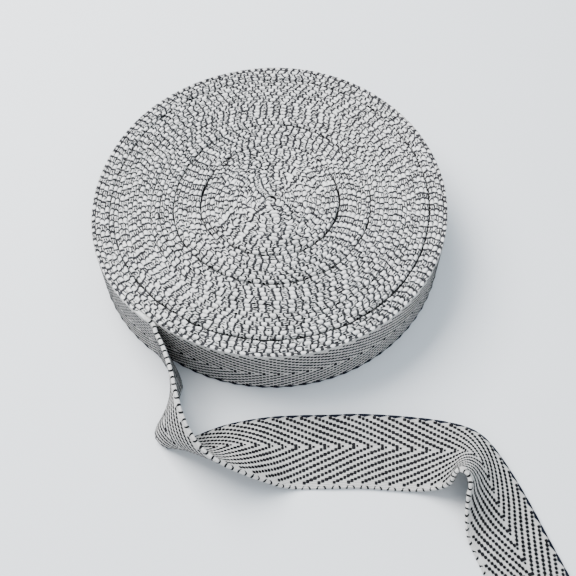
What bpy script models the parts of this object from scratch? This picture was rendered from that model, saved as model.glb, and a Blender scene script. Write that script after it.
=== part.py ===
"""Roll of herringbone binding tape with its loose end lying in front, true scale, +Z up.

The tape is wound on edge round the +Z axis, so the roll's height is the tape's width. The outermost
turn ends in a small step, and from there the loose end leaves the roll standing on its dark edge,
turns and rolls over, lies flat with its inner face up, buckles into a small arch and runs on.
"""

from typing import NamedTuple

import bpy
import numpy as np
from mathutils import Vector

MM = 0.001

# The tape
TAPE_WIDTH = 30.0
TAPE_THICKNESS = 1.6
TURN_PITCH = 2.0

# The wound roll
ROLL_RADIUS = 79.2
ROLL_DEPTH_RATIO = 1.003
ROLL_CENTRE = (0.9, -0.25)
TURN_END_ANGLE = 229.0
OUTLINE_STEPS = 120
RIM_SOFTNESS = 0.7
FOOT_RADIUS = 60.0

# The loose end
TAIL_START_GAP = 0.35
TAIL_STEP = 3.0
TAIL_COLUMNS = 6
WALL_ROWS = (0.0, 4.0)
FLAT = TAPE_THICKNESS / 2

CLOTH_COLOUR = (0.80, 0.80, 0.79, 1.0)
CLOTH_ROUGHNESS = 0.9


class Ring(NamedTuple):
    """One ring of the roll's top, seen in section.

    Attributes:
        name: What the ring is.
        radius: Its distance from the roll's axis.
        height: Its height over the floor.
    """

    name: str
    radius: float
    height: float


TOP_RINGS = (
    Ring("bottom of the centre dimple", 0.0, 28.4),
    Ring("foot of the dimple", 1.0, 28.6),
    Ring("edge of the dimple", 2.4, 29.7),
    Ring("inner turns", 16.0, 30.0),
    Ring("inner side of the first gap", 30.6, 29.9),
    Ring("bottom of the first gap", 31.6, 29.1),
    Ring("outer side of the first gap", 32.6, 30.0),
    Ring("middle turns", 50.0, 30.0),
    Ring("inner side of the second gap", 69.4, 30.0),
    Ring("bottom of the second gap", 70.4, 29.0),
    Ring("outer side of the second gap", 71.4, 29.8),
)


class Section(NamedTuple):
    """One section across the loose end, given by the middle of its thickness.

    Attributes:
        at: Distance along the tape from the roll.
        dark: Where the dark edge is.
        light: Where the light edge is.
        bulge: How far the middle stands off the straight line between the edges.
    """

    at: float
    dark: tuple[float, float, float]
    light: tuple[float, float, float]
    bulge: float


TAIL_SECTIONS = (
    # leaving the roll, standing on the dark edge
    Section(8, (-44.6, -66.6, 0.0), (-45.6, -66.2, 30.0), 0.0),
    Section(14, (-40.2, -71.0, 0.0), (-43.0, -71.4, 30.0), 0.0),
    Section(20, (-37.8, -76.8, 0.0), (-40.7, -77.0, 30.0), 0.0),
    Section(26, (-38.8, -83.2, 0.5), (-38.6, -82.7, 30.0), 0.0),
    # the dark edge swings out and turns under
    Section(32, (-41.4, -89.2, 1.2), (-36.9, -88.5, 30.0), 0.0),
    Section(38, (-44.8, -94.6, 1.8), (-35.3, -94.3, 30.0), 0.0),
    Section(43, (-46.4, -99.4, 1.8), (-33.7, -99.2, 29.6), 0.2),
    Section(48, (-43.8, -103.4, 1.3), (-31.8, -103.9, 28.8), 0.8),
    # rolling over into the fold
    Section(53, (-39.4, -104.4, FLAT), (-29.4, -108.3, 27.6), 1.8),
    Section(58, (-35.0, -102.6, FLAT), (-26.4, -112.3, 26.0), 2.6),
    Section(64, (-30.0, -100.3, FLAT), (-22.2, -116.1, 23.6), 2.6),
    Section(70, (-24.4, -98.0, 1.2), (-17.4, -118.6, 20.8), 1.8),
    Section(77, (-17.8, -95.7, 1.6), (-11.8, -120.2, 16.8), 0.8),
    Section(84, (-11.0, -94.0, 1.6), (-6.0, -121.3, 12.4), 0.2),
    Section(91, (-4.0, -92.9, 1.2), (-0.4, -122.0, 8.0), 0.0),
    Section(98, (3.0, -92.3, FLAT), (5.2, -122.2, 3.8), 0.0),
    # the flat run
    Section(106, (11.0, -92.0, FLAT), (12.0, -122.0, FLAT), 0.0),
    Section(120, (25.0, -91.7, FLAT), (26.0, -121.7, FLAT), 0.0),
    Section(132, (37.2, -91.6, 1.6), (37.4, -121.6, FLAT), 0.0),
    Section(144, (49.6, -92.5, 2.8), (48.2, -122.4, FLAT), 0.0),
    Section(155, (61.0, -93.6, 4.0), (58.6, -123.4, 1.6), 0.2),
    # up the arch
    Section(162, (68.2, -94.5, 4.6), (64.8, -124.1, 4.4), 0.3),
    Section(168, (74.6, -95.6, 4.9), (69.2, -124.3, 8.6), 0.5),
    Section(173, (80.0, -97.2, 5.0), (71.4, -123.7, 12.8), 0.8),
    Section(178, (84.6, -99.2, 4.8), (72.0, -122.0, 16.8), 1.2),
    Section(183, (88.6, -102.2, 4.2), (73.8, -120.9, 19.4), 1.6),
    Section(188, (92.0, -106.0, 3.2), (76.8, -122.6, 19.8), 1.8),
    # down the arch
    Section(193, (95.0, -110.2, 2.2), (78.0, -126.0, 17.4), 1.8),
    Section(198, (97.8, -114.6, 1.3), (77.4, -129.2, 13.8), 1.6),
    Section(204, (100.6, -119.9, FLAT), (77.2, -132.8, 9.2), 1.2),
    Section(210, (103.1, -125.4, FLAT), (77.2, -137.2, 5.2), 0.6),
    Section(217, (105.8, -131.9, FLAT), (78.0, -142.8, 2.0), 0.2),
    # the last flat run and the plain cut end
    Section(224, (108.3, -138.4, FLAT), (80.4, -149.2, FLAT), 0.0),
    Section(243, (115.4, -156.0, FLAT), (87.5, -166.8, FLAT), 0.0),
    Section(262, (122.5, -173.7, FLAT), (94.6, -184.4, FLAT), 0.0),
)


def cloth_material(name):
    material = bpy.data.materials.new(name)
    material.use_nodes = True
    shader = material.node_tree.nodes["Principled BSDF"]
    shader.inputs["Base Color"].default_value = CLOTH_COLOUR
    shader.inputs["Roughness"].default_value = CLOTH_ROUGHNESS
    return material


def add_node(name, points, faces):
    mesh = bpy.data.meshes.new(name)
    mesh.from_pydata([Vector(p) * MM for p in points], [], faces)
    mesh.validate()
    node = bpy.data.objects.new(name, mesh)
    bpy.context.collection.objects.link(node)
    node.data.materials.append(cloth_material(name + "_cloth"))
    for face in node.data.polygons:
        face.use_smooth = True
    return node


def on_outline(radius, angle, height):
    """A point at this radius and angle of the slightly oval roll."""
    turn = np.radians(angle)
    x, y = ROLL_CENTRE
    return (x + radius * np.cos(turn), y + ROLL_DEPTH_RATIO * radius * np.sin(turn), height)


def wound_roll():
    """The whole roll: closed rings inside, open ones at the rim that grow by one turn round the roll."""
    points = []
    faces = []

    def closed_ring(radius, height):
        start = len(points)
        for k in range(OUTLINE_STEPS):
            angle = TURN_END_ANGLE + 360.0 * k / OUTLINE_STEPS
            points.append(on_outline(radius, angle, height))
        return [start + k % OUTLINE_STEPS for k in range(OUTLINE_STEPS + 1)]

    def growing_ring(inset, height, first=None):
        ring = []
        for k in range(OUTLINE_STEPS + 1):
            if k == 0 and first is not None:
                ring.append(first)
                continue
            share = k / OUTLINE_STEPS
            radius = ROLL_RADIUS - TURN_PITCH * (1 - share) - inset
            points.append(on_outline(radius, TURN_END_ANGLE + 360.0 * share, height))
            ring.append(len(points) - 1)
        return ring

    def skin(inner, outer):
        for k in range(OUTLINE_STEPS):
            corners = [inner[k], outer[k], outer[k + 1], inner[k + 1]]
            faces.append(list(dict.fromkeys(corners)))

    def cap(centre, ring, upward):
        for k in range(OUTLINE_STEPS):
            faces.append([centre, ring[k], ring[k + 1]] if upward else [centre, ring[k + 1], ring[k]])

    points.append(on_outline(0.0, 0.0, TOP_RINGS[0].height))
    rings = [closed_ring(ring.radius, ring.height) for ring in TOP_RINGS[1:]]
    cap(0, rings[0], True)
    rim_start = ROLL_RADIUS - TURN_PITCH - RIM_SOFTNESS
    top_height = TAPE_WIDTH - 0.2
    rings.append(closed_ring(rim_start, top_height))
    rings.append(growing_ring(RIM_SOFTNESS, top_height, rings[-1][0]))
    rings.append(growing_ring(0.0, top_height - RIM_SOFTNESS))
    rings.append(growing_ring(0.0, RIM_SOFTNESS))
    foot_rim = closed_ring(rim_start, 0.0)
    rings.append(growing_ring(RIM_SOFTNESS, 0.0, foot_rim[0]))
    rings.append(foot_rim)
    rings.append(closed_ring(FOOT_RADIUS, 0.0))
    for inner, outer in zip(rings, rings[1:]):
        skin(inner, outer)
    points.append(on_outline(0.0, 0.0, 0.0))
    cap(len(points) - 1, rings[-1], False)
    top_rim, upper, lower, bottom_rim = rings[-6], rings[-5], rings[-4], rings[-3]
    outer_side = [top_rim[-1], upper[-1], lower[-1], bottom_rim[-1]]
    inner_side = [bottom_rim[0], lower[0], upper[0], top_rim[0]]
    faces.append(outer_side + inner_side)
    return add_node("wound_roll", points, faces)


def wall_section(at):
    """A section of the tape still lying against the roll's wall."""
    radius = ROLL_RADIUS - TAPE_THICKNESS / 2
    angle = TURN_END_ANGLE + np.degrees((TAIL_START_GAP + at) / radius)
    return Section(at, on_outline(radius, angle, 0.0), on_outline(radius, angle, TAPE_WIDTH), 0.0)


def smooth_rows(stations, at, values):
    """Values at these stations, on a cubic curve through the given rows with slopes from their neighbours."""
    slopes = np.gradient(values, at, axis=0)
    index = np.clip(np.searchsorted(at, stations, side="right") - 1, 0, len(at) - 2)
    span = (at[index + 1] - at[index])[:, None]
    t = (stations - at[index])[:, None] / span
    start = (2 * t**3 - 3 * t**2 + 1) * values[index]
    start_slope = (t**3 - 2 * t**2 + t) * span * slopes[index]
    end = (-2 * t**3 + 3 * t**2) * values[index + 1]
    end_slope = (t**3 - t**2) * span * slopes[index + 1]
    return start + start_slope + end + end_slope


def tail_surface():
    """The middle surface of the loose end as a grid: a row for each station, a column across the tape."""
    sections = [wall_section(at) for at in WALL_ROWS] + list(TAIL_SECTIONS)
    at = np.array([row.at for row in sections])
    shape = np.array([(*row.dark, *row.light, row.bulge) for row in sections])
    stations = np.linspace(at[0], at[-1], int(at[-1] / TAIL_STEP) + 1)
    rows = smooth_rows(stations, at, shape)
    dark, light, bulge = rows[:, None, 0:3], rows[:, None, 3:6], rows[:, None, 6:7]
    across = np.linspace(0.0, 1.0, TAIL_COLUMNS + 1)[None, :, None]
    straight = dark * (1 - across) + light * across
    along = np.gradient(straight, axis=0)
    outward = np.cross(along, light - dark)
    outward /= np.linalg.norm(outward, axis=2, keepdims=True)
    grid = straight + outward * bulge * 4 * across * (1 - across)
    return grid


def grid_normals(grid):
    along = np.gradient(grid, axis=0)
    over = np.gradient(grid, axis=1)
    normals = np.cross(along, over)
    return normals / np.linalg.norm(normals, axis=2, keepdims=True)


def loose_end():
    """The loose end as a closed sheet, flat underneath where it touches the floor."""
    grid = tail_surface()
    half = grid_normals(grid) * TAPE_THICKNESS / 2
    outer = grid + half
    inner = grid - half
    rows, columns = grid.shape[:2]
    points = np.concatenate([outer.reshape(-1, 3), inner.reshape(-1, 3)])
    points[:, 2] = np.maximum(points[:, 2], 0.0)
    number = np.arange(2 * rows * columns).reshape(2, rows, columns)
    faces = []
    for i in range(rows - 1):
        for j in range(columns - 1):
            a, b, c, d = number[0, i, j], number[0, i + 1, j], number[0, i + 1, j + 1], number[0, i, j + 1]
            faces.append([a, b, c, d])
            a, b, c, d = number[1, i, j], number[1, i + 1, j], number[1, i + 1, j + 1], number[1, i, j + 1]
            faces.append([a, d, c, b])
    edges = [(i, 0, i + 1, 0) for i in range(rows - 1)]
    edges += [(rows - 1, j, rows - 1, j + 1) for j in range(columns - 1)]
    edges += [(i + 1, columns - 1, i, columns - 1) for i in range(rows - 1)]
    edges += [(0, j + 1, 0, j) for j in range(columns - 1)]
    for i, j, k, m in edges:
        faces.append([number[0, k, m], number[0, i, j], number[1, i, j], number[1, k, m]])
    return add_node("loose_end", points, [[int(n) for n in face] for face in faces])


for old in list(bpy.data.objects):
    bpy.data.objects.remove(old, do_unlink=True)
wound_roll()
loose_end()
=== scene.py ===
"""A wound roll of cotton herringbone tape with its loose end, dressed over its CAD frame."""

from __future__ import annotations

import logging
import math
from collections.abc import Callable
from dataclasses import dataclass, field
from enum import Enum
from typing import NamedTuple

import bmesh
import bpy
import numpy as np
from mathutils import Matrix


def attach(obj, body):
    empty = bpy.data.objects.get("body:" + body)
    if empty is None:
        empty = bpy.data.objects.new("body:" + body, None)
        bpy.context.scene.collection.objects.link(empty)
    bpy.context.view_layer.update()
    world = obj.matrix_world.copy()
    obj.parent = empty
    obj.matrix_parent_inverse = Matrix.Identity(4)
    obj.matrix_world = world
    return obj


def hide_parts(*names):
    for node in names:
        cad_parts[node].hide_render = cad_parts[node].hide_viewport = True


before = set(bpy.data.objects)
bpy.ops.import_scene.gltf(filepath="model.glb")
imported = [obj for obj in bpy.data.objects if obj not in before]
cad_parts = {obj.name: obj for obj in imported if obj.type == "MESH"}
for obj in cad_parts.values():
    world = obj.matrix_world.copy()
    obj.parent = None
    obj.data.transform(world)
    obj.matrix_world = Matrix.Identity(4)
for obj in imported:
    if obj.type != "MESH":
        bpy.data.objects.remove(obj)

log = logging.getLogger("tape")
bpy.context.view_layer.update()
MM = 0.001
FULL_TURN = 2 * math.pi

# One unit of the weave map, in mm.
WEAVE_UNIT = 10

Tone = tuple[float, float, float]

# Where the loose end lies, in mm: the distance along it, the middle of its dark edge,
# the middle of its light edge, and how far its middle bellies towards its outer face.
END_SECTIONS = (
    (8, (-44.6, -66.6, 0), (-45.6, -66.2, 30), 0),
    (14, (-40.2, -71, 0), (-43.0, -71.4, 30), 0),
    (20, (-37.8, -76.8, 0), (-40.7, -77, 30), 0),
    (26, (-38.8, -83.2, 0.5), (-38.6, -82.7, 30), 0),
    (32, (-41.4, -89.2, 1.2), (-36.9, -88.5, 30), 0),
    (38, (-44.8, -94.6, 1.8), (-35.3, -94.3, 30), 0),
    (43, (-46.4, -99.4, 1.8), (-33.7, -99.2, 29.6), 0.2),
    (48, (-43.8, -103.4, 1.3), (-31.8, -103.9, 28.8), 0.8),
    (53, (-39.4, -104.4, 0.8), (-29.4, -108.3, 27.6), 1.8),
    (58, (-35, -102.6, 0.8), (-26.4, -112.3, 26), 2.6),
    (64, (-30, -100.3, 0.8), (-22.2, -116.1, 23.6), 2.6),
    (70, (-24.4, -98, 1.2), (-17.4, -118.6, 20.8), 1.8),
    (77, (-17.8, -95.7, 1.6), (-11.8, -120.2, 16.8), 0.8),
    (84, (-11, -94, 1.6), (-6, -121.3, 12.4), 0.2),
    (91, (-4, -92.5, 1.2), (-0.4, -122, 8), 0),
    (98, (3, -91.4, 0.8), (5.2, -122.5, 3.8), 0),
    (106, (11, -90.9, 0.8), (12, -122.4, 0.8), 0),
    (120, (25, -90.6, 0.8), (26, -122.2, 0.8), 0),
    (132, (37.2, -90.5, 1.6), (37.4, -122.1, 0.8), 0),
    (144, (49.6, -91.5, 2.8), (48.2, -122.8, 0.8), 0),
    (155, (61, -93, 4), (58.6, -123.6, 1.6), 0.2),
    (162, (68.2, -94.2, 4.6), (64.8, -124.1, 4.4), 0.3),
    (168, (74.6, -95.6, 4.9), (69.2, -124.3, 8.6), 0.5),
    (173, (80, -97.2, 5), (71.4, -123.7, 12.8), 0.8),
    (178, (84.6, -99.2, 4.8), (72, -122, 16.8), 1.2),
    (183, (88.6, -102.2, 4.2), (73.8, -120.9, 19.4), 1.6),
    (188, (92, -106, 3.2), (76.8, -122.6, 19.8), 1.8),
    (193, (95, -110.2, 2.2), (78, -126, 17.4), 1.8),
    (198, (97.8, -114.6, 1.3), (77.4, -129.2, 13.8), 1.6),
    (204, (100.6, -119.9, 0.8), (77.2, -132.8, 9.2), 1.2),
    (210, (103.1, -125.4, 0.8), (77.2, -137.2, 5.2), 0.6),
    (217, (105.8, -131.9, 0.8), (78, -142.8, 2), 0.2),
    (224, (108.3, -138.4, 0.8), (80.4, -149.2, 0.8), 0),
    (243, (115.4, -156, 0.8), (87.5, -166.8, 0.8), 0),
    (262, (122.5, -173.7, 0.8), (94.6, -184.4, 0.8), 0),
)

# How far the loose end and the turn that it leaves overlap, and how wide the wall's dark band is.
START_OVERLAP = 0.3
DARK_BAND = 1.0

# The height of the roll's top from its middle outwards, in mm: radius, height.
TOP_RINGS = ((0, 26.8), (1.0, 27.6), (2.2, 29.2), (4, 29.8), (16, 30), (68, 30), (72, 29.8), (79, 29.8))

# The turns inside this radius are wound looser, and how far it takes them to get so.
LOOSE_RADIUS = 30
LOOSE_FADE = 14

# How far the turns lie outside a true round, in degrees and mm.
OUT_OF_ROUND = (
    (0, -0.4), (20, -0.4), (40, -0.1), (60, 0.3), (75, 0.5), (90, 0.4), (103, -0.1), (120, -0.4), (140, -0.6),
    (160, -0.8), (172, -0.4), (184, 0.2), (195, 0.8), (206, 0.9), (217, 0.6), (229, 0), (240, -0.1), (265, -0.3),
    (300, -0.2), (340, -0.3),
)


def unit(vectors: np.ndarray) -> np.ndarray:
    """Scale each row to length one."""
    return vectors / np.maximum(np.linalg.norm(vectors, axis=1, keepdims=True), 1e-9)


def spread(place: Callable[..., np.ndarray], *grids: np.ndarray) -> np.ndarray:
    """The points that a function of plain rows gives for grids of numbers, in the grids' shape."""
    return place(*(grid.ravel() for grid in grids)).reshape(*grids[0].shape, 3)


@dataclass(frozen=True)
class Unevenness:
    """A seeded, slowly changing unevenness along the tape.

    Attributes:
        seed: the seed of its random numbers.
        knot: the distance between two changes, in mm.
        swing: the largest value.
    """

    seed: int
    knot: float
    swing: float

    def read(self, reach: float, where: np.ndarray) -> np.ndarray:
        """Read it at these distances.

        Args:
            reach: how far it is needed, in mm.
            where: the distances at which it is read.

        Returns:
            One value for each distance.
        """
        knots = np.arange(-2 * self.knot, reach + 3 * self.knot, self.knot)
        values = np.random.default_rng(self.seed).uniform(-self.swing, self.swing, len(knots))
        return np.interp(where, knots, values)


# What is uneven on the roll: the size of its cells, its top, the gaps between turns, the lean of
# its ticks, and its underside.
CELL_DRIFT = (Unevenness(17, 210.0, 0.30), Unevenness(18, 13.0, 0.05))
TOP_HEIGHT = (Unevenness(3, 37.0, 0.16), Unevenness(5, 9.0, 0.07))
GAP_SIZE = (Unevenness(29, 8.0, 0.5), Unevenness(30, 2.6, 1.1))
TICK_LEAN = (Unevenness(23, 13.0, 0.45),)
UNDERSIDE = (Unevenness(8, 25.0, 0.07),)


# How many turns a gap between two turns takes to open.
GAP_FADE = 0.18


class RingGap(NamedTuple):
    """A ring of the roll's top where two turns lie apart.

    Attributes:
        start: how many turns back from the outer end it starts.
        long: its length, in turns.
        depth: its size, where 1 is a gap of usual width.
    """

    start: float
    long: float
    depth: float

    def open(self, turns: np.ndarray, later: float = 0.0) -> np.ndarray:
        """How open the gap is beside a point of the tape.

        Args:
            turns: how many turns back from the outer end the points lie.
            later: 0 for the turn outside the gap, 1 for the turn inside it.

        Returns:
            For each point a number from 0, closed, to 1.
        """
        start = self.start + later
        return np.clip(np.minimum(turns - start, start + self.long - turns) / GAP_FADE, 0, 1)


class Side(Enum):
    """The two faces of the tape, as the sign of their normal."""

    OUTER = 1
    INNER = -1


@dataclass(frozen=True)
class TapeWeave:
    """The make of the tape: its size and its 3/1 herringbone, in mm.

    Attributes:
        width: its width.
        thickness: its thickness.
        pick: the distance between two weft threads.
        warps: how many warp yarns it has.
        ridge: the warp where the herringbone turns.
        tie: every how many picks a warp is tied down.
        tick: the length of a cell of the light selvedge.
        float_height: how far the floats stand over the sheet.
        step: the distance between two points of its mesh.
        round_edge: how far the selvedges are rounded.
        tie_size: half the length and half the height of a dark tie.
        tie_dome: how far a tie's middle stands over its rim.
        stitch_reach: half the length of a long stitch of the dark selvedge.
    """

    width: float = 30.0
    thickness: float = 1.6
    pick: float = 1.5
    warps: int = 48
    ridge: int = 21
    tie: int = 4
    tick: float = 3.0
    float_height: float = 0.13
    step: float = 0.75
    round_edge: float = 0.35
    tie_size: tuple[float, float] = (0.74, 0.70)
    tie_dome: float = 0.12
    stitch_reach: float = 3.0

    @property
    def warp(self) -> float:
        """The width of one warp yarn."""
        return self.width / self.warps

    def from_ridge(self, warp: np.ndarray) -> np.ndarray:
        """How many warps a warp lies from the one where the herringbone turns."""
        return np.abs(warp - self.ridge)

    def float_relief(self, along: np.ndarray, across: np.ndarray) -> np.ndarray:
        """How far the floats stand over the ties.

        Args:
            along: distances along the tape.
            across: distances from the dark edge.

        Returns:
            A height for each point, lowest at each tie.
        """
        warp = across / self.warp - 0.5
        turn = (along / self.pick - 3.5 + self.from_ridge(warp)) / self.tie
        return self.float_height * (2 * np.abs(np.sin(np.pi * turn)) ** 0.8 - 1)

    def half(self, across: np.ndarray) -> np.ndarray:
        """Half the thickness, less towards the rounded selvedges."""
        inside = np.minimum(across, self.width - across)
        return self.thickness / 2 * (1 - 0.3 * np.clip(1 - inside / 1.2, 0, 1) ** 2)

    def edge_relief(self, cell: np.ndarray, over: np.ndarray) -> np.ndarray:
        """The relief of the light selvedge, a round blob and a pair of strands in turn.

        Args:
            cell: how many cells of the selvedge lie before each point.
            over: from -1 to 1 across the thickness.

        Returns:
            A height for each point.
        """
        swell = np.sin(np.pi * (cell - np.floor(cell)))
        blob = 0.24 * swell**0.7 * (1 - 0.8 * over**2)
        strand = 0.20 * swell**0.5 * np.sin(np.pi * over) ** 2
        return np.where(np.floor(cell) % 2 == 0, blob, strand) - 0.10

    def ties(self, start: float, end: float) -> tuple[np.ndarray, np.ndarray, np.ndarray]:
        """Where the dark weft shows over a warp.

        Args:
            start: the first distance along the tape.
            end: the last distance along the tape.

        Returns:
            The distance along, the distance across and the size of each tie.
        """
        picks = np.arange(math.ceil(start / self.pick), math.floor((end + 0.3) / self.pick))
        warps = np.arange(2, self.warps - 3)
        pick, warp = (a.ravel() for a in np.meshgrid(picks, warps))
        away = self.from_ridge(warp)
        kept = (pick + away) % self.tie == 3
        pick, warp, away = pick[kept], warp[kept], away[kept]
        size = np.where(away == 0, 0.75, 1.0)
        return (pick + 0.5) * self.pick, (warp + 0.5) * self.warp, size


@dataclass(frozen=True)
class NodeGraph:
    """The nodes and links of one material."""

    nodes: bpy.types.Nodes
    links: bpy.types.NodeLinks

    @classmethod
    def of(cls, material: bpy.types.Material) -> NodeGraph:
        """The graph of a material."""
        material.use_nodes = True
        return cls(material.node_tree.nodes, material.node_tree.links)

    def add(self, kind: str, inputs: dict[str | int, object], **settings: object) -> bpy.types.Node:
        """Add a node.

        Args:
            kind: the node's type.
            inputs: for each of its sockets a value, or the output that is linked to it.
            settings: the node's own properties.

        Returns:
            The node.
        """
        node = self.nodes.new(kind)
        for name, value in settings.items():
            setattr(node, name, value)
        for socket, value in inputs.items():
            if isinstance(value, bpy.types.NodeSocket):
                self.links.new(value, node.inputs[socket])
            else:
                node.inputs[socket].default_value = value
        return node

    def math(self, operation: str, *values: float | bpy.types.NodeSocket) -> bpy.types.NodeSocket:
        """The result of a math node."""
        return self.add("ShaderNodeMath", dict(enumerate(values)), operation=operation).outputs[0]

    def tones(self, factor: bpy.types.NodeSocket, *stops: tuple[float, Tone]) -> bpy.types.NodeSocket:
        """Run from one tone to another.

        Args:
            factor: the number that picks the tone.
            stops: the places and tones of both ends.

        Returns:
            The colour.
        """
        ramp = self.add("ShaderNodeValToRGB", {"Fac": factor})
        for element, (position, tone) in zip(ramp.color_ramp.elements, stops):
            element.position = position
            element.color = (*tone, 1)
        return ramp.outputs["Color"]


@dataclass(frozen=True)
class YarnFinish:
    """A cotton yarn finish.

    Attributes:
        name: the material's name.
        tone: its lighter colour.
        shade: its darker colour.
        roughness: its roughness.
        sheen: the weight of its fuzz.
        specular: its specular level.
        fibre: the scale of its fibres.
        fibre_depth: how far the fibres stand out, in metres.
        yarn_depth: how far the warp yarns stand out, in metres.
        mottle: the scale of its mottled colour.
        twist: the length of one turn of the yarn, in mm.
    """

    name: str
    tone: Tone
    shade: Tone
    roughness: float = 0.92
    sheen: float = 0.25
    specular: float = 0.2
    fibre: float = 2600.0
    fibre_depth: float = 0.00008
    yarn_depth: float = 0.0
    mottle: float = 140.0
    twist: float = 0.62

    def material(self) -> bpy.types.Material:
        """Build the yarn's material.

        Returns:
            A node material that reads Object coordinates and the weave map.
        """
        material = bpy.data.materials.new(self.name)
        graph = NodeGraph.of(material)
        shader = graph.nodes["Principled BSDF"]
        shader.inputs["Roughness"].default_value = self.roughness
        shader.inputs["Sheen Weight"].default_value = self.sheen
        shader.inputs["Sheen Roughness"].default_value = 0.5
        shader.inputs["Specular IOR Level"].default_value = self.specular
        place = graph.add("ShaderNodeTexCoord", {}).outputs["Object"]
        mottle = graph.add("ShaderNodeTexNoise", {"Vector": place, "Scale": self.mottle, "Detail": 4.0})
        fibre = graph.add("ShaderNodeTexNoise", {"Vector": place, "Scale": self.fibre, "Detail": 3.0})
        half = graph.math("MULTIPLY", fibre.outputs["Fac"], 0.5)
        both = graph.math("MULTIPLY_ADD", mottle.outputs["Fac"], 0.5, half)
        colour = graph.tones(both, (0.36, self.shade), (0.62, self.tone))
        graph.links.new(colour, shader.inputs["Base Color"])
        fuzz = {"Strength": 0.7, "Distance": self.fibre_depth, "Height": fibre.outputs["Fac"]}
        bump = graph.add("ShaderNodeBump", fuzz)
        if self.yarn_depth:
            bump = self.yarn_bump(graph, bump)
        graph.links.new(bump.outputs["Normal"], shader.inputs["Normal"])
        return material

    def yarn_bump(self, graph: NodeGraph, under: bpy.types.Node) -> bpy.types.Node:
        """Add the ridges of the warp yarns and the slant of their twist.

        Args:
            graph: the material's nodes and links.
            under: the bump that it goes over.

        Returns:
            The bump node of the yarns.
        """
        weave = graph.add("ShaderNodeUVMap", {}, uv_map="weave")
        parts = graph.add("ShaderNodeSeparateXYZ", {"Vector": weave.outputs["UV"]})
        ridge = graph.math("MULTIPLY", parts.outputs["Y"], FULL_TURN * WEAVE_UNIT / TAPE.warp)
        slant = graph.math("MULTIPLY_ADD", parts.outputs["X"], FULL_TURN * WEAVE_UNIT / self.twist, ridge)
        furrow = graph.math("MULTIPLY", graph.math("COSINE", ridge), -1.0)
        height = graph.math("MULTIPLY_ADD", graph.math("SINE", slant), 0.3, furrow)
        ridges = {"Strength": 0.8, "Distance": self.yarn_depth, "Height": height, "Normal": under.outputs["Normal"]}
        return graph.add("ShaderNodeBump", ridges)


@dataclass(frozen=True)
class Finishes:
    """Every finish of the tape, made once.

    Attributes:
        white: the cotton of both faces.
        edge: the cotton of the light selvedge.
        tie: the weft where it ties the warp down.
        navy: the dark selvedge.
        loop: the weft where it turns at the light selvedge.
        seam: the painted shade between two strands and between turns.
        inside: the painted shade that shows between two turns.
    """

    white: bpy.types.Material
    edge: bpy.types.Material
    tie: bpy.types.Material
    navy: bpy.types.Material
    loop: bpy.types.Material
    seam: bpy.types.Material
    inside: bpy.types.Material

    @classmethod
    def made(cls) -> Finishes:
        """Build the materials of the tape.

        Returns:
            The finishes.
        """
        white = YarnFinish("white_cotton", (0.65, 0.637, 0.62), (0.48, 0.47, 0.458), yarn_depth=0.00020)
        edge = YarnFinish("white_selvedge", (0.82, 0.812, 0.805), (0.56, 0.555, 0.55))
        tie = YarnFinish("black_weft", (0.013, 0.013, 0.015), (0.006, 0.006, 0.007), sheen=0.0, specular=0.08)
        navy = YarnFinish("navy_selvedge", (0.009, 0.011, 0.020), (0.004, 0.005, 0.009), sheen=0.0, specular=0.08)
        loop = YarnFinish("dark_loop", (0.046, 0.046, 0.050), (0.016, 0.016, 0.018), sheen=0.0, specular=0.1)
        # Painted shade: thin dark lines between strands and in the grooves between turns.
        seam = YarnFinish("painted_shade_line", (0.022, 0.022, 0.024), (0.010, 0.010, 0.011), sheen=0.0, specular=0.08)
        # The dark grey between two turns and in the roll's middle is painted shade, not the tape's colour.
        inside = YarnFinish("painted_gap_shade", (0.10, 0.10, 0.10), (0.05, 0.05, 0.05), sheen=0.1)
        return cls(*(finish.material() for finish in (white, edge, tie, navy, loop, seam, inside)))


def woven_grid(
    name: str,
    points: np.ndarray,
    weave_map: np.ndarray,
    finishes: list[bpy.types.Material],
    finish_of_row: np.ndarray | None = None,
    weld: bool = False,
) -> bpy.types.Object:
    """Shape a grid into a woven surface.

    Args:
        name: the piece's name.
        points: its points in mm, as rows across the tape, steps along it, and x, y, z.
        weave_map: how far along and across the tape the same points lie, in mm.
        finishes: its materials.
        finish_of_row: the material of each row of faces.
        weld: whether its first and last rows and its ends are joined.

    Returns:
        The piece.
    """
    rows, steps = points.shape[:2]
    shape = bmesh.new()
    bmesh.ops.create_grid(shape, x_segments=steps - 1, y_segments=rows - 1, size=1.0)
    mesh = bpy.data.meshes.new(name)
    shape.to_mesh(mesh)
    shape.free()
    mesh.vertices.foreach_set("co", (points.reshape(-1, 3) * MM).ravel())
    corner = np.empty(len(mesh.loops), dtype=np.int32)
    mesh.loops.foreach_get("vertex_index", corner)
    layer = mesh.uv_layers.new(name="weave")
    weave = weave_map.reshape(-1, 2)[corner] / WEAVE_UNIT
    layer.data.foreach_set("uv", weave.astype(np.float32).ravel())
    for finish in finishes:
        mesh.materials.append(finish)
    if finish_of_row is not None:
        mesh.polygons.foreach_set("material_index", np.repeat(finish_of_row, steps - 1).astype(np.int32))
    mesh.polygons.foreach_set("use_smooth", np.ones(len(mesh.polygons), dtype=bool))
    if weld:
        shape = bmesh.new()
        shape.from_mesh(mesh)
        bmesh.ops.remove_doubles(shape, verts=shape.verts, dist=1e-6)
        bmesh.ops.dissolve_degenerate(shape, edges=shape.edges, dist=1e-7)
        shape.to_mesh(mesh)
        shape.free()
    mesh.update()
    return placed(name, mesh)


def placed(name: str, mesh: bpy.types.Mesh) -> bpy.types.Object:
    """Put a mesh into the scene as a piece, at the origin.

    Args:
        name: the piece's name.
        mesh: its mesh, in metres.

    Returns:
        The piece.
    """
    piece = bpy.data.objects.new(name, mesh)
    bpy.context.scene.collection.objects.link(piece)
    log.info("%s: %d faces", name, len(mesh.polygons))
    return piece


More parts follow.
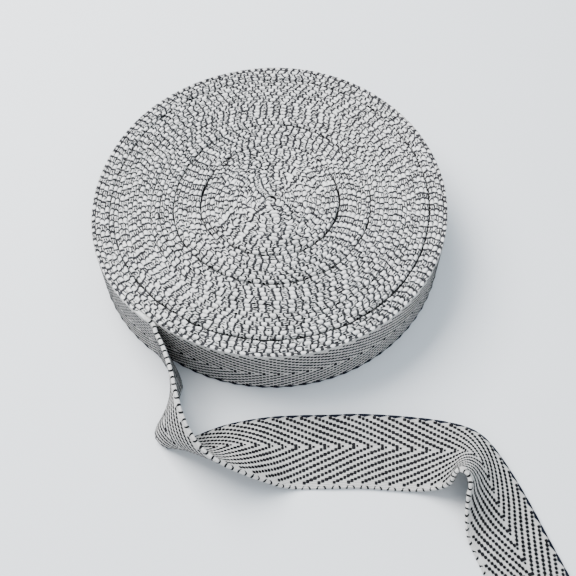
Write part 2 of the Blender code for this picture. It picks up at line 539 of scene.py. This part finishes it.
@dataclass(frozen=True)
class Stitch:
    """A small shape that is repeated over the tape: its corners and its faces."""

    corners: np.ndarray
    faces: tuple[tuple[int, ...], ...]

    @classmethod
    def taken(cls, shape: bmesh.types.BMesh) -> Stitch:
        """Keep the corners and faces of a small bmesh and free it.

        Args:
            shape: the bmesh.

        Returns:
            The stitch.
        """
        shape.verts.index_update()
        corners = np.array([tuple(v.co) for v in shape.verts])
        faces = tuple(tuple(v.index for v in f.verts) for f in shape.faces)
        shape.free()
        return cls(corners, faces)

    @classmethod
    def lens(cls, sides: int = 8, square: float = 0.0) -> Stitch:
        """A flat dome with its centre at 1 and its rim at 0.

        Args:
            sides: how many sides its rim has.
            square: how far its slanting corners are pushed out.

        Returns:
            The stitch.
        """
        shape = bmesh.new()
        bmesh.ops.create_circle(shape, cap_ends=True, segments=sides, radius=1.0)
        for corner in shape.verts:
            corner.co *= 1 + square * abs(corner.co.x * corner.co.y) * 2
        middle = bmesh.ops.poke(shape, faces=shape.faces[:])
        for corner in middle["verts"]:
            corner.co.z = 1.0
        return cls.taken(shape)

    @classmethod
    def ribbon(cls, long: int, wide: int = 2) -> Stitch:
        """A strip from -1 to 1 both ways, raised to 1 along its middle.

        Args:
            long: how many pieces it has along y.
            wide: how many pieces it has along x; with 1 it is flat.

        Returns:
            The stitch.
        """
        shape = bmesh.new()
        bmesh.ops.create_grid(shape, x_segments=wide, y_segments=long, size=1.0)
        for corner in shape.verts:
            corner.co.z = 1.0 - abs(corner.co.x) if wide > 1 else 1.0
        return cls.taken(shape)

    def repeated(self, name: str, points: np.ndarray, finish: bpy.types.Material) -> bpy.types.Object:
        """Repeat the stitch over the tape.

        Args:
            name: the piece's name.
            points: the corners of every repeat in mm, as repeats, corners, and x, y, z.
            finish: its material.

        Returns:
            The piece.
        """
        count = len(points)
        size = len(self.corners)
        loops = np.concatenate([np.array(f) for f in self.faces])
        sizes = np.array([len(f) for f in self.faces])
        mesh = bpy.data.meshes.new(name)
        mesh.vertices.add(count * size)
        mesh.vertices.foreach_set("co", (points.reshape(-1, 3) * MM).ravel())
        corner = (loops[None, :] + size * np.arange(count)[:, None]).ravel()
        mesh.loops.add(len(corner))
        mesh.loops.foreach_set("vertex_index", corner.astype(np.int32))
        totals = np.tile(sizes, count)
        mesh.polygons.add(len(totals))
        mesh.polygons.foreach_set("loop_start", (np.cumsum(totals) - totals).astype(np.int32))
        mesh.polygons.foreach_set("use_smooth", np.ones(len(totals), dtype=bool))
        mesh.materials.append(finish)
        mesh.update(calc_edges=True)
        return placed(name, mesh)


TAPE = TapeWeave()


class TapePath:
    """A stretch of tape in space: where each point of its middle sheet lies, in mm."""

    floor: float | None = None

    def middle(self, along: np.ndarray, across: np.ndarray) -> np.ndarray:
        """Points of the middle sheet."""
        raise NotImplementedError

    def place(self, along: np.ndarray, across: np.ndarray, proud: np.ndarray) -> np.ndarray:
        """Points near the sheet.

        Args:
            along: distances along the tape.
            across: distances from the dark edge.
            proud: heights over the middle sheet, towards the outer face.

        Returns:
            One point for each, as rows of x, y, z.
        """
        reach = 0.2
        run = self.middle(along + reach, across) - self.middle(along - reach, across)
        rise = self.middle(along, across + reach) - self.middle(along, across - reach)
        points = self.middle(along, across) + unit(np.cross(run, rise)) * proud[:, None]
        if self.floor is not None:
            points[:, 2] = np.maximum(points[:, 2], self.floor)
        return points

    def face_ties(
        self, name: str, start: float, end: float, side: Side, finish: bpy.types.Material
    ) -> bpy.types.Object:
        """Lay the dark ties of the weft over one face.

        Args:
            name: the piece's name.
            start: the first distance along the tape.
            end: the last distance along the tape.
            side: the face.
            finish: the weft's material.

        Returns:
            The piece.
        """
        stitch = Stitch.lens(square=0.22)
        along, across, size = TAPE.ties(start, end)
        rng = np.random.default_rng(11)
        half_long, half_tall = TAPE.tie_size
        long = (half_long * size * rng.uniform(0.86, 1.14, len(along)))[:, None]
        tall = (half_tall * size * rng.uniform(0.88, 1.12, len(along)))[:, None]
        x, y, z = stitch.corners.T
        u = along[:, None] + long * x[None]
        v = across[:, None] + tall * y[None]
        dome = np.where(z[None] > 0.5, TAPE.tie_dome, 0.0)
        lift = TAPE.half(across)[:, None] + TAPE.float_height + dome
        points = spread(self.place, u, v, side.value * lift)
        return faced(stitch, side).repeated(name, points, finish)

    def selvedge_wedges(
        self, name: str, start: float, end: float, side: Side, finish: bpy.types.Material, tall: float = 1.0
    ) -> bpy.types.Object:
        """Lay the long dark stitches along the dark edge of one face.

        Args:
            name: the piece's name.
            start: the first distance along the tape.
            end: the last distance along the tape.
            side: the face.
            finish: the selvedge yarn's material.
            tall: how much taller the stitches are than on the flat tape.

        Returns:
            The piece.
        """
        stitch = Stitch.lens(12)
        repeat = TAPE.pick * TAPE.tie
        along = np.arange(math.ceil(start / repeat) + 0.5, math.floor(end / repeat)) * repeat
        x, y, z = (row[None] for row in stitch.corners.T)
        u = along[:, None] - 0.1 + TAPE.stitch_reach * x
        belly = tall * (0.50 + 0.60 * np.exp(-(((x + 0.05) / 0.42) ** 2)))
        v = 0.40 + np.where(y < 0, 0.44, belly) * y + 0 * u
        lift = TAPE.half(v) + TAPE.float_height + np.where(z > 0.5, 0.24 * tall, -0.02)
        points = spread(self.place, u, np.maximum(v, 0.02), side.value * lift)
        return faced(stitch, side).repeated(name, points, finish)


def faced(stitch: Stitch, side: Side) -> Stitch:
    """Turn a stitch's faces to point out of a face of the tape.

    Args:
        stitch: a stitch whose faces point out of the outer face.
        side: the face that it lies on.

    Returns:
        The stitch for that face.
    """
    if side is Side.OUTER:
        return stitch
    return Stitch(stitch.corners, tuple(tuple(reversed(f)) for f in stitch.faces))


@dataclass
class WoundRoll(TapePath):
    """The wound roll: the turn that shows round its wall, the rings of its top and bottom.

    Attributes:
        radius: its radius at the tape's outer end, in mm.
        depth_ratio: its depth over its width.
        centre: where its axis stands.
        pitch: the distance between two turns.
        end_angle: the direction of the tape's outer end, in degrees.
        height: its height.
        cell: the length of a cell of the light selvedge.
        start_radius: the radius at which the tape starts.
        shoulder: how far the top of a turn falls towards its faces.
        gap_sink: how far a gap of usual width sinks the turns beside it.
        gap_shift: how far it moves them apart.
        gaps: the rings where turns lie apart.
        pieces: its pieces.
    """

    radius: float = 79.2
    depth_ratio: float = 1.003
    centre: tuple[float, float] = (0.9, -0.25)
    pitch: float = 2.0
    end_angle: float = 229.0
    height: float = 30.0
    cell: float = 3.06
    start_radius: float = 1.3
    shoulder: float = 0.60
    gap_sink: float = 0.55
    gap_shift: float = 0.31
    gaps: tuple[RingGap, ...] = (
        RingGap(3.05, 0.67, 0.9),
        RingGap(3.6, 0.55, 1.3),
        RingGap(8.1, 0.9, 0.3),
        RingGap(11.75, 0.75, 0.45),
        RingGap(13.9, 0.5, 0.3),
        RingGap(16.5, 0.72, 0.9),
        RingGap(17.1, 0.5, 1.2),
        RingGap(22.95, 0.57, 1.3),
        RingGap(23.4, 0.75, 1.2),
    )
    pieces: list[bpy.types.Object] = field(default_factory=list)

    @property
    def first(self) -> float:
        """The radius of the middle of the outer turn at its end."""
        return self.radius - TAPE.thickness / 2

    @property
    def length(self) -> float:
        """The length of tape in the roll, to its middle."""
        turns = (self.first - self.start_radius) / self.pitch
        return FULL_TURN * (self.first * turns - self.pitch * turns**2 / 2)

    def spot(self, radius: np.ndarray, turns: np.ndarray, height: np.ndarray) -> np.ndarray:
        """Points of the roll.

        Args:
            radius: their distances from its axis.
            turns: how many turns back from the outer end they lie.
            height: their heights.

        Returns:
            One point for each, as rows of x, y, z.
        """
        angle = math.radians(self.end_angle) - FULL_TURN * turns
        degrees, outside = np.array(OUT_OF_ROUND).T
        radius = radius + np.interp(np.degrees(angle), degrees, outside, period=360) * np.clip(radius / 40, 0, 1)
        x, y = self.centre
        return np.stack([x + radius * np.cos(angle), y + self.depth_ratio * radius * np.sin(angle), height], axis=1)

    def uneven(self, kinds: tuple[Unevenness, ...], back: np.ndarray) -> np.ndarray:
        """How uneven the roll is at these distances back from the outer end."""
        return sum(kind.read(self.length, back) for kind in kinds)

    def turns_back(self, back: np.ndarray) -> np.ndarray:
        """How many turns lie between the outer end and a distance back from it."""
        square = self.first**2 - self.pitch * back / math.pi
        return (self.first - np.sqrt(np.maximum(square, 0.25))) / self.pitch

    def outside(self, turns: np.ndarray) -> np.ndarray:
        """The radius of the roll's outside, which shrinks by one turn's pitch round the roll."""
        return self.radius - self.pitch * np.clip(turns, 0, 1)

    def middle(self, along: np.ndarray, across: np.ndarray) -> np.ndarray:
        """Points of the middle sheet of the wound tape, along being negative."""
        turns = self.turns_back(-along)
        return self.spot(self.first - self.pitch * turns, turns, across + 0 * along)

    def cells(self, back: np.ndarray) -> np.ndarray:
        """The count of light selvedge cells up to each distance back, which drifts a little."""
        return back / self.cell + self.uneven(CELL_DRIFT, back)

    def cell_ends(self, part: float = 1.0) -> tuple[np.ndarray, np.ndarray]:
        """Where the light selvedge's cells meet.

        Args:
            part: the part of a cell between two of the places.

        Returns:
            The count of cells and the distance back of each place.
        """
        back = np.arange(0, self.length, 0.25)
        cells = np.maximum.accumulate(self.cells(back))
        count = np.arange(math.ceil(cells[0] / part) * part, math.floor(cells[-1]), part)
        return count, np.interp(count, cells, back)

    def top_point(self, back: np.ndarray, over: np.ndarray, lift: np.ndarray) -> np.ndarray:
        """Points over the light edge of the wound tape.

        Args:
            back: distances back from the outer end.
            over: from -1, its inner face, to 1, its outer face.
            lift: heights over the edge's own relief.

        Returns:
            One point for each, as rows of x, y, z.
        """
        turns = self.turns_back(back)
        radius = self.first - self.pitch * turns
        height = np.interp(radius, *np.array(TOP_RINGS).T) + self.uneven(TOP_HEIGHT, back)
        height = height - self.shoulder * np.abs(over) ** 3 + TAPE.edge_relief(self.cells(back), over) + lift
        out = radius + over * self.pitch / 2
        size = np.clip(1 + self.uneven(GAP_SIZE, back), 0, 1.6)
        for gap in self.gaps:
            inner = gap.open(turns) * np.clip(-over, 0, 1) ** 1.5
            outer = gap.open(turns, 1.0) * np.clip(over, 0, 1) ** 1.5
            height = height - self.gap_sink * gap.depth * size * (inner + outer)
            out = out + self.gap_shift * gap.depth * size * (inner - outer)
        out = np.minimum(out, self.outside(turns))
        return self.spot(out, turns, height)

    def bottom_point(self, back: np.ndarray, over: np.ndarray) -> np.ndarray:
        """Points under the dark edge of the wound tape.

        Args:
            back: distances back from the outer end.
            over: from -1, its inner face, to 1, its outer face.

        Returns:
            One point for each, as rows of x, y, z.
        """
        turns = self.turns_back(back)
        radius = self.first - self.pitch * turns
        out = np.minimum(radius + over * self.pitch / 2, self.outside(turns) - 0.15)
        height = 0.08 + 0.40 * np.abs(over) ** 3 + self.uneven(UNDERSIDE, back)
        return self.spot(out, turns, np.maximum(height, 0))

    def shade_core(self, finishes: Finishes) -> None:
        """The closed dark grey body under the skins, which fills the gaps between turns as painted shade.

        Args:
            finishes: the tape's materials.
        """
        shape = bmesh.new()
        inset, foot, tall = 3.4, 0.9, 25.9
        bmesh.ops.create_circle(shape, cap_ends=False, segments=144, radius=(self.radius - inset) * MM)
        rim = shape.edges[:]
        bmesh.ops.scale(shape, verts=shape.verts, vec=(1, self.depth_ratio, 1))
        bmesh.ops.translate(shape, verts=shape.verts, vec=[at * MM for at in (*self.centre, foot)])
        floor = bmesh.ops.contextual_create(shape, geom=rim)
        pulled = bmesh.ops.extrude_face_region(shape, geom=floor["faces"])
        raised = [g for g in pulled["geom"] if isinstance(g, bmesh.types.BMVert)]
        bmesh.ops.translate(shape, verts=raised, vec=(0, 0, tall * MM))
        bmesh.ops.recalc_face_normals(shape, faces=shape.faces)
        mesh = bpy.data.meshes.new("roll_shade_core")
        shape.to_mesh(mesh)
        shape.free()
        mesh.materials.append(finishes.inside)
        self.pieces.append(placed("roll_shade_core", mesh))

    def wall(self, finishes: Finishes) -> None:
        """The outer face of the last turn, round the wall.

        Args:
            finishes: the tape's materials.
        """
        turn = FULL_TURN * (self.first - self.pitch / 2)
        end = -START_OVERLAP
        along = np.arange(-turn - 1.5, end + TAPE.step, TAPE.step)
        along[-1] = end
        face = np.linspace(TAPE.round_edge, TAPE.width - TAPE.round_edge, TAPE.warps + 1)
        bend = np.radians([20, 45, 70, 90])
        foot, brim = TAPE.round_edge * (1 - np.sin(bend[::-1])), TAPE.width - 0.55 + 0.35 * np.sin(bend)
        half = TAPE.half(face)
        across = np.concatenate([foot, face, brim])
        proud = np.concatenate([half[0] * np.cos(bend[::-1]), half, half[-1] * np.cos(bend)])
        v, u = np.meshgrid(across, along, indexing="ij")
        flat = (v >= face[0]) & (v <= face[-1])
        lift = np.repeat(proud[:, None], len(along), axis=1) + np.where(flat, TAPE.float_relief(u, v), 0)
        points = spread(self.place, u, v, lift)
        points[..., 2] = np.clip(points[..., 2], 0, self.height - 0.2)
        finish = np.where(across[1:] < DARK_BAND, 1, 0)
        both = [finishes.white, finishes.navy]
        self.pieces += [
            woven_grid("roll_wall", points, np.stack([u, v], axis=-1), both, finish),
            self.face_ties("roll_wall_ties", -turn, end, Side.OUTER, finishes.tie),
            # On the wall the dark stitches are drawn 1.6 times as tall. They are partly the real dark selvedge and
            # partly painted shade at the roll's foot.
            self.selvedge_wedges("roll_wall_selvedge", -turn, 0, Side.OUTER, finishes.navy, 1.6),
        ]

    def top(self, finishes: Finishes) -> None:
        """The rings of light selvedge that make the roll's top, with their dark ticks.

        Args:
            finishes: the tape's materials.
        """
        back = np.append(0.0, self.cell_ends(0.25)[1])
        half = len(back) // 2
        over = np.linspace(-1, 1, 9)
        for name, part in (("roll_top_outer", back[: half + 1]), ("roll_top_inner", back[half:])):
            w, s = np.meshgrid(over, part, indexing="ij")
            points = spread(self.top_point, s, w, 0 * s)
            self.pieces.append(woven_grid(name, points, np.stack([s, w], axis=-1), [finishes.edge]))
        self.ticks(finishes)
        self.shade_lines(finishes)

    def ticks(self, finishes: Finishes) -> None:
        """The curved dark ticks across each turn of the top.

        Args:
            finishes: the tape's materials.
        """
        stitch = Stitch.ribbon(5)
        cell, ends = (row[1:] for row in self.cell_ends())
        count = len(ends)
        rng = np.random.default_rng(21)
        radius = self.first - self.pitch * self.turns_back(ends)
        loose = np.clip((LOOSE_RADIUS - radius) / LOOSE_FADE, 0, 1)
        at = ends + rng.normal(0, 1, count) * (0.08 + 0.40 * loose)
        bow = np.where(cell % 2 == 0, 1.0, -1.0) * rng.uniform(0.05, 0.75, count)
        lean = self.uneven(TICK_LEAN, at) + rng.normal(0, 1, count) * (0.15 + 0.45 * loose)
        rim = self.turns_back(ends) < 1
        wide = rng.uniform(0.46, 0.66, count) * np.where(rim, 1.15, 1.0)
        waist = np.where(rim, -0.7, rng.uniform(-0.3, 0.5, count))
        x, y, z = stitch.corners.T
        s = at[:, None] + wide[:, None] * x[None] * (1 - waist[:, None] * y[None] ** 2)
        s = s + bow[:, None] * (y[None] ** 2 - 0.5) + lean[:, None] * y[None]
        w = 1.02 * y[None] + 0 * s
        points = spread(self.top_point, s, w, 0.10 + 0.16 * z[None] + 0 * s)
        self.pieces.append(stitch.repeated("roll_top_ticks", points, finishes.loop))

    def shade_lines(self, finishes: Finishes) -> None:
        """Thin dark lines of painted shade between the strands of every second cell, and in the grooves between
        turns.

        Args:
            finishes: the tape's materials.
        """
        stitch = faced(Stitch.ribbon(3, 1), Side.INNER)
        cell, ends = self.cell_ends()
        between = (ends[:-1] + ends[1:]) / 2
        middles = between[cell[:-1] % 2 == 1]
        blobs = between[cell[:-1] % 2 == 0]
        rng = np.random.default_rng(22)
        x, y, _ = stitch.corners.T
        rows = []
        for places, over, share, wide in (
            (middles, 0.0, 1.0, 0.30),
            (middles, -1.0, 0.9, 0.34),
            (middles, 1.0, 0.9, 0.34),
            (blobs, -1.0, 0.6, 0.30),
            (blobs, 0.35, 0.12, 0.30),
            (blobs, -0.35, 0.12, 0.30),
        ):
            at = places[rng.random(len(places)) < share][:, None]
            count = (len(at), 1)
            s = at + rng.normal(0, 0.15, count) + rng.uniform(0.45, 1.1, count) * y[None]
            w = over + rng.normal(0, 0.08, count) + rng.normal(0, 0.20, count) * y[None]
            w = w + wide * rng.uniform(0.7, 1.2, count) * x[None] * (1 - 0.5 * y[None] ** 2)
            rows.append(spread(self.top_point, s, w, 0 * s + 0.10))
        self.pieces.append(stitch.repeated("roll_top_shade_lines", np.concatenate(rows), finishes.seam))

    def bottom(self, finishes: Finishes) -> None:
        """The rings of dark selvedge under the roll.

        Args:
            finishes: the tape's materials.
        """
        over = np.linspace(-1, 1, 5)
        back = np.arange(0, self.length, 1.5)
        w, s = np.meshgrid(over, back, indexing="ij")
        points = spread(self.bottom_point, s, w)[::-1]
        self.pieces.append(woven_grid("roll_bottom", points, np.stack([s, w], axis=-1)[::-1], [finishes.navy]))

    def center(self, finishes: Finishes) -> None:
        """The folded start of the tape in the middle of the roll.

        Args:
            finishes: the tape's materials.
        """
        inward = np.linspace(0, 1, 40)
        angle = np.radians(200 + 300 * inward)
        radius = 1.35 - 0.9 * inward
        x, y = self.centre
        rows = []
        for offset, height in ((0.35, 28.9), (0.0, 29.3), (-0.35, 28.9)):
            out = radius + offset
            rows.append(np.stack([x + out * np.cos(angle), y + out * np.sin(angle), height + 0 * out], axis=1))
        points = np.array(rows)
        self.pieces.append(woven_grid("roll_start", points, points[..., :2], [finishes.edge]))

    def build(self, finishes: Finishes) -> list[bpy.types.Object]:
        """Build the roll and bind it to the frame.

        Args:
            finishes: the tape's materials.

        Returns:
            Its pieces.
        """
        self.shade_core(finishes)
        self.wall(finishes)
        self.top(finishes)
        self.bottom(finishes)
        self.center(finishes)
        for piece in self.pieces:
            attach(piece, "root")
            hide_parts("wound_roll")
        return self.pieces


@dataclass
class LooseEnd(TapePath):
    """The loose end: the tape that leaves the roll, stands, twists down and lies on the floor.

    Attributes:
        roll: the roll that it leaves.
        start: where it starts along the tape, in mm.
        end: where it is cut.
        gap: the distance between its first section and the roll's step.
        floor: the height of the floor.
        pieces: its pieces.
    """

    roll: WoundRoll
    start: float = -START_OVERLAP
    end: float = 262.0
    gap: float = 0.35
    floor: float | None = 0.0
    pieces: list[bpy.types.Object] = field(default_factory=list)

    def __post_init__(self) -> None:
        """Gather the sections, with the two that still lie on the roll's wall."""
        rows = []
        for at in (0.0, 4.0):
            angle = math.radians(self.roll.end_angle) + (self.gap + at) / self.roll.first
            x = self.roll.centre[0] + self.roll.first * math.cos(angle)
            y = self.roll.centre[1] + self.roll.first * self.roll.depth_ratio * math.sin(angle)
            rows.append((at, x, y, 0, x, y, 30, 0))
        rows += [(at, *dark, *light, belly) for at, dark, light, belly in END_SECTIONS]
        table = np.array(rows, dtype=float)
        self.at = table[:, 0]
        self.rows = table[:, 1:]
        self.slopes = np.gradient(self.rows, self.at, axis=0)

    def between(self, along: np.ndarray) -> tuple[np.ndarray, np.ndarray]:
        """The section at any distance along.

        Args:
            along: distances along the loose end.

        Returns:
            The section's numbers and their slopes, a row for each distance.
        """
        k = np.clip(np.searchsorted(self.at, along, side="right") - 1, 0, len(self.at) - 2)
        span = (self.at[k + 1] - self.at[k])[:, None]
        t = ((along - self.at[k])[:, None]) / span
        a, b = self.rows[k], self.rows[k + 1]
        m, n = self.slopes[k] * span, self.slopes[k + 1] * span
        value = (2 * t**3 - 3 * t**2 + 1) * a + (t**3 - 2 * t**2 + t) * m
        value = value + (3 * t**2 - 2 * t**3) * b + (t**3 - t**2) * n
        slope = (6 * t**2 - 6 * t) * a + (3 * t**2 - 4 * t + 1) * m
        slope = slope + (6 * t - 6 * t**2) * b + (3 * t**2 - 2 * t) * n
        return value, slope / span

    def middle(self, along: np.ndarray, across: np.ndarray) -> np.ndarray:
        """Points of the middle sheet of the loose end.

        Args:
            along: distances along it.
            across: distances from the dark edge.

        Returns:
            One point for each, as rows of x, y, z.
        """
        here, slope = self.between(along)
        t = (across / TAPE.width)[:, None]
        line = here[:, :3] * (1 - t) + here[:, 3:6] * t
        run = slope[:, :3] * (1 - t) + slope[:, 3:6] * t
        out = unit(np.cross(run, here[:, 3:6] - here[:, :3]))
        return line + out * here[:, 6:7] * 4 * t * (1 - t)

    def cloth(self, finishes: Finishes) -> bpy.types.Object:
        """The closed strip of cloth: both faces, both selvedges and both ends.

        Args:
            finishes: the tape's materials.

        Returns:
            The piece.
        """
        along = np.linspace(self.start, self.end, round((self.end - self.start) / TAPE.step) + 1)
        along = np.concatenate([along[:1], along, along[-1:]])
        face = np.linspace(TAPE.round_edge, TAPE.width - TAPE.round_edge, TAPE.warps + 1)
        bend = np.radians([30, 60, 90, 120, 150])
        light = TAPE.width - TAPE.round_edge * (1 - np.sin(bend))
        dark = TAPE.round_edge * (1 - np.sin(bend))
        half = TAPE.half(face)
        rim = half[0]
        across = np.concatenate([face, light, face[::-1], dark, face[:1]])
        proud = np.concatenate([half, rim * np.cos(bend), -half[::-1], -rim * np.cos(bend), half[:1]])
        kind = np.concatenate([0 * face, 0 * light + 1, 0 * face + 2, 0 * dark + 3, [0]])
        v, u = np.meshgrid(across, along, indexing="ij")
        lift = np.repeat(proud[:, None], len(along), axis=1)
        sort = np.repeat(kind[:, None], len(along), axis=1)
        relief = TAPE.float_relief(u, v)
        lift = lift + np.where(sort == 0, relief, 0) - np.where(sort == 2, relief, 0)
        bump = TAPE.edge_relief(u / TAPE.tick, lift / rim * 0.6)
        v = v + np.where(sort == 1, bump, 0)
        lift[:, [0, -1]] = 0
        points = spread(self.place, u, v, lift)
        finish = np.where(kind[:-1] == 3, 1, 0)
        finish[-1] = 1
        return woven_grid(
            "loose_end_cloth", points, np.stack([u, v], axis=-1), [finishes.white, finishes.navy], finish, weld=True
        )

    def edge_ticks(self, finishes: Finishes) -> bpy.types.Object:
        """The dark ticks over the light selvedge.

        Args:
            finishes: the tape's materials.

        Returns:
            The piece.
        """
        stitch = faced(Stitch.ribbon(9), Side.INNER)
        cell = np.arange(1, math.floor(self.end / TAPE.tick))
        rng = np.random.default_rng(31)
        x, y, z = stitch.corners.T
        bow = np.where(cell % 2 == 0, 1.0, -1.0) * rng.uniform(0.4, 0.85, len(cell))
        wide = rng.uniform(0.36, 0.52, len(cell))
        u = cell[:, None] * TAPE.tick + wide[:, None] * x[None] + bow[:, None] * (y[None] ** 2 - 0.2)
        bend = np.clip(y / 0.5, -1, 1)
        inside = 0.55 * np.clip(np.abs(y) - 0.5, 0, 1) / 0.5
        rim = TAPE.half(TAPE.width - TAPE.round_edge - inside)
        height = 0.05 + 0.12 * z + 0.10 * np.clip(inside, 0, 1)
        v = TAPE.width - TAPE.round_edge - inside + (TAPE.round_edge + height) * np.cos(math.pi / 2 * bend)
        lift = (rim + height) * np.sin(math.pi / 2 * bend)
        points = spread(self.place, u, v[None] + 0 * u, lift[None] + 0 * u)
        return stitch.repeated("loose_end_ticks", points, finishes.tie)

    def build(self, finishes: Finishes) -> list[bpy.types.Object]:
        """Build the loose end and bind it to the frame.

        Args:
            finishes: the tape's materials.

        Returns:
            Its pieces.
        """
        cloth = self.cloth(finishes)
        trims = [
            self.face_ties("loose_end_outer_ties", 0, self.end, Side.OUTER, finishes.tie),
            self.face_ties("loose_end_inner_ties", 0, self.end, Side.INNER, finishes.tie),
            self.selvedge_wedges("loose_end_outer_selvedge", 0, self.end, Side.OUTER, finishes.navy),
            self.selvedge_wedges("loose_end_inner_selvedge", 0, self.end, Side.INNER, finishes.navy),
            self.edge_ticks(finishes),
        ]
        self.pieces = [cloth, *trims]
        for piece in self.pieces:
            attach(piece, "root")
            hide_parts("loose_end")
        return self.pieces


@dataclass
class Studio:
    """The pale floor, the soft light and the camera.

    Attributes:
        camera_at: the camera's place, in metres.
        tilt: how far it is tilted up from straight down, in degrees.
        lens: its focal length, in mm.
        drop: how far the floor lies under the object, in metres.
    """

    camera_at: tuple[float, float, float] = (0.0081, -0.2357, 0.3532)
    tilt: float = 30.42
    lens: float = 56.25
    drop: float = 0.00006

    def floor(self) -> None:
        """Lay the pale floor."""
        shape = bmesh.new()
        bmesh.ops.create_grid(shape, x_segments=8, y_segments=8, size=3.0)
        bmesh.ops.translate(shape, verts=shape.verts, vec=(0, 0, -self.drop))
        mesh = bpy.data.meshes.new("floor")
        shape.to_mesh(mesh)
        shape.free()
        floor = placed("floor", mesh)
        paint = bpy.data.materials.new("pale_board")
        graph = NodeGraph.of(paint)
        shader = graph.nodes["Principled BSDF"]
        shader.inputs["Roughness"].default_value = 0.85
        shader.inputs["Specular IOR Level"].default_value = 0.15
        place = graph.add("ShaderNodeTexCoord", {}).outputs["Object"]
        grain = graph.add("ShaderNodeTexNoise", {"Vector": place, "Scale": 3.0}).outputs["Fac"]
        colour = graph.tones(grain, (0.0, (0.74, 0.762, 0.79)), (1.0, (0.76, 0.782, 0.81)))
        graph.links.new(colour, shader.inputs["Base Color"])
        mesh.materials.append(paint)

    def lamp(self, name: str, at: tuple[float, float, float], size: float, watts: float, tint: Tone) -> None:
        """Hang a soft square lamp that looks at the roll.

        Args:
            name: the lamp's name.
            at: its place, in metres.
            size: its side, in metres.
            watts: its power.
            tint: its colour.
        """
        data = bpy.data.lights.new(name, "AREA")
        data.shape = "SQUARE"
        data.size = size
        data.energy = watts
        data.color = tint
        lamp = bpy.data.objects.new(name, data)
        lamp.location = at
        away = np.array(at) - np.array((0.0, -0.05, 0.0))
        away = away / np.linalg.norm(away)
        lamp.rotation_euler = (math.acos(away[2]), 0, math.atan2(away[1], away[0]) + math.pi / 2)
        bpy.context.scene.collection.objects.link(lamp)

    def build(self) -> None:
        """Set up the floor, the lamps, the sky and the camera."""
        self.floor()
        self.lamp("window", (-0.46, 0.36, 0.80), 0.7, 30.0, (1.0, 0.985, 0.97))
        self.lamp("fill", (0.7, 0.1, 1.5), 1.2, 9.0, (0.78, 0.91, 1.0))
        self.lamp("front", (0.12, -0.95, 0.34), 0.8, 4.0, (1.0, 0.975, 0.95))
        world = bpy.data.worlds.new("studio")
        world.use_nodes = True
        world.node_tree.nodes["Background"].inputs["Color"].default_value = (0.79, 0.90, 1.0, 1)
        world.node_tree.nodes["Background"].inputs["Strength"].default_value = 0.78
        bpy.context.scene.world = world
        data = bpy.data.cameras.new("camera")
        data.sensor_width = 36.0
        data.lens = self.lens
        camera = bpy.data.objects.new("camera", data)
        camera.location = self.camera_at
        camera.rotation_euler = (math.radians(self.tilt), 0, 0)
        bpy.context.scene.collection.objects.link(camera)
        bpy.context.scene.camera = camera


def main() -> None:
    """Build the studio, the roll and the loose end."""
    logging.basicConfig(level=logging.INFO, format="%(message)s")
    Studio().build()
    finishes = Finishes.made()
    roll = WoundRoll()
    roll.build(finishes)
    LooseEnd(roll).build(finishes)


if __name__ == "__main__":
    main()
